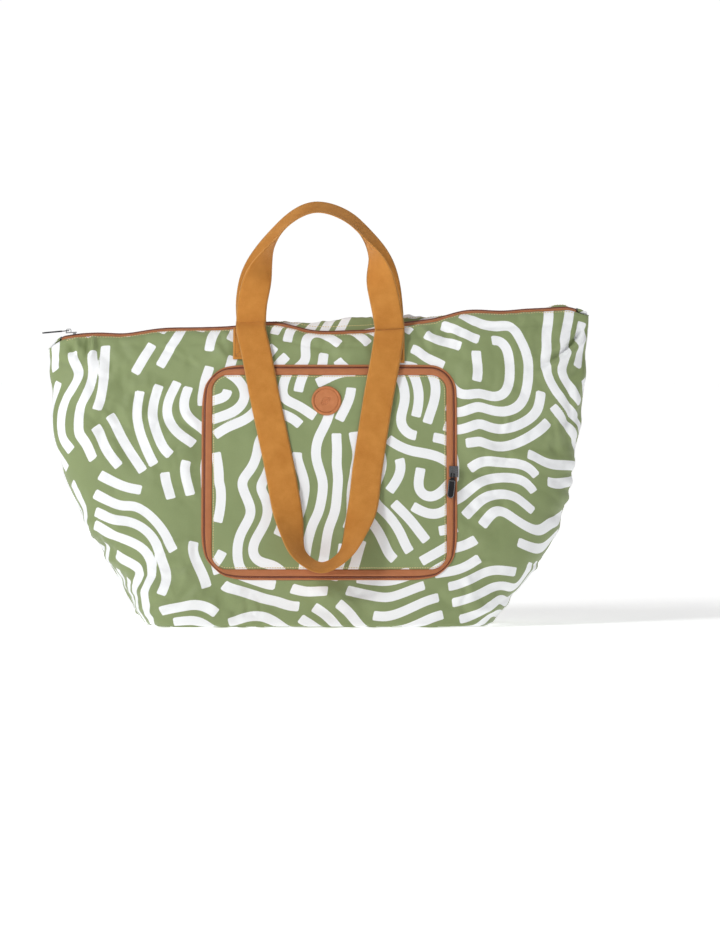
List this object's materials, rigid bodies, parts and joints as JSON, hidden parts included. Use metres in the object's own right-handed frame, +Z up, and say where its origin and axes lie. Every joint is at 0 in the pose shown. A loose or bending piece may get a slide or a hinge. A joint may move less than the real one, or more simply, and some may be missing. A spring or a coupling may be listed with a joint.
{
  "type": "foldable tote bag",
  "caption": "Wide tapered fabric tote with a zip along its mouth, short and long webbing loops and a zip-round fold-away pouch on its front.",
  "frame": {"origin": "on the ground under the middle of the whole bag", "axes": "+X to the right of someone looking at the front, +Y from the front (pouch side) to the back, +Z up"},
  "size_m": [0.6973, 0.2537, 0.5408],
  "materials": {
    "printed_fabric": "thin woven polyester printed with loose white strokes on green",
    "webbing": "flat woven cotton webbing, tan",
    "zip_tape": "woven zip tape, tan",
    "zip_coil": "nylon coil, dark brown",
    "badge_leather": "smooth pressed leather with a raised stitched rim",
    "silver_metal": "polished zip metal",
    "black_metal": "black lacquered zip metal"
  },
  "bodies": {
    "root": {"front_panel_sides": "printed_fabric", "back_panel_sides": "printed_fabric", "bottom_panel": "printed_fabric", "left_seam_binding": "zip_tape", "right_seam_binding": "zip_tape", "front_zip_tape_left": "zip_tape", "front_zip_tape_right": "zip_tape", "back_zip_tape_left": "zip_tape", "back_zip_tape_right": "zip_tape", "front_zip_coil_left": "zip_coil", "front_zip_coil_right": "zip_coil", "back_zip_coil_left": "zip_coil", "back_zip_coil_right": "zip_coil", "left_zip_stop": "silver_metal", "right_zip_stop": "silver_metal", "left_zip_end_tab": "printed_fabric", "right_zip_end_tab": "printed_fabric"},
    "front_leaf": {"front_panel_middle": "printed_fabric", "front_zip_tape_middle": "zip_tape", "front_zip_coil_middle": "zip_coil", "front_left_handle_patch": "webbing", "front_right_handle_patch": "webbing", "pouch_panel": "printed_fabric", "pouch_upper_tape": "zip_tape", "pouch_lower_tape": "zip_tape", "pouch_upper_coil": "zip_coil", "pouch_lower_coil": "zip_coil", "badge": "badge_leather"},
    "back_leaf": {"back_panel_middle": "printed_fabric", "back_zip_tape_middle": "zip_tape", "back_zip_coil_middle": "zip_coil", "back_left_handle_patch": "webbing", "back_right_handle_patch": "webbing"},
    "main_slider": {"zip_slider": "silver_metal"},
    "main_pull": {"zip_pull": "black_metal"},
    "pouch_slider_body": {"pouch_slider": "silver_metal"},
    "pouch_pull_body": {"pouch_pull": "black_metal"},
    "front_short_loop": {"front_short_handle": "webbing"},
    "back_short_loop": {"back_short_handle": "webbing"},
    "front_long_loop": {"front_long_handle": "webbing"},
    "back_long_loop": {"back_long_handle": "webbing"}
  },
  "joints": [
    {"name": "main_zip", "type": "slide", "parent": "root", "child": "main_slider", "axis": [0.9985, 0, 0.0549], "range_m": [0, 0.628]},
    {"name": "main_pull_flip", "type": "hinge", "parent": "main_slider", "child": "main_pull", "pos_m": [-0.31473, 0.0003, 0.37474], "axis": [0, 1, 0], "range_deg": [0, 170]},
    {"name": "front_mouth", "type": "hinge", "parent": "root", "child": "front_leaf", "pos_m": [0.00465, -0.0868, 0.05], "axis": [1, 0, 0], "range_deg": [0, 13]},
    {"name": "back_mouth", "type": "hinge", "parent": "root", "child": "back_leaf", "pos_m": [0.00465, 0.0874, 0.05], "axis": [-1, 0, 0], "range_deg": [0, 13]},
    {"name": "pouch_zip", "type": "slide", "parent": "front_leaf", "child": "pouch_slider_body", "axis": [0, 0.1748, 0.9846], "range_m": [0, 0.09]},
    {"name": "pouch_pull_flip", "type": "hinge", "parent": "pouch_slider_body", "child": "pouch_pull_body", "pos_m": [0.17424, -0.0715, 0.19396], "axis": [-0.9944, 0.0061, 0.1051], "range_deg": [0, 150]},
    {"name": "front_short_swing", "type": "hinge", "parent": "front_leaf", "child": "front_short_loop", "pos_m": [0.00465, -0.0252, 0.381], "axis": [0.9993, 0, -0.037], "range_deg": [0, 110]},
    {"name": "back_short_swing", "type": "hinge", "parent": "back_leaf", "child": "back_short_loop", "pos_m": [0.00465, 0.0273, 0.381], "axis": [-0.9993, 0, 0.037], "range_deg": [0, 110]},
    {"name": "front_long_swing", "type": "hinge", "parent": "front_leaf", "child": "front_long_loop", "pos_m": [0.00465, -0.0282, 0.379], "axis": [0.9997, 0, -0.0256], "range_deg": [-150, 0]},
    {"name": "back_long_swing", "type": "hinge", "parent": "back_leaf", "child": "back_long_loop", "pos_m": [0.00465, 0.0293, 0.379], "axis": [-0.9997, 0, 0.0256], "range_deg": [-150, 0]}
  ],
  "couplings": [
    {"joint": "front_mouth", "follows": "main_zip", "rad_per_m": 0.36},
    {"joint": "back_mouth", "follows": "main_zip", "rad_per_m": 0.36}
  ]
}
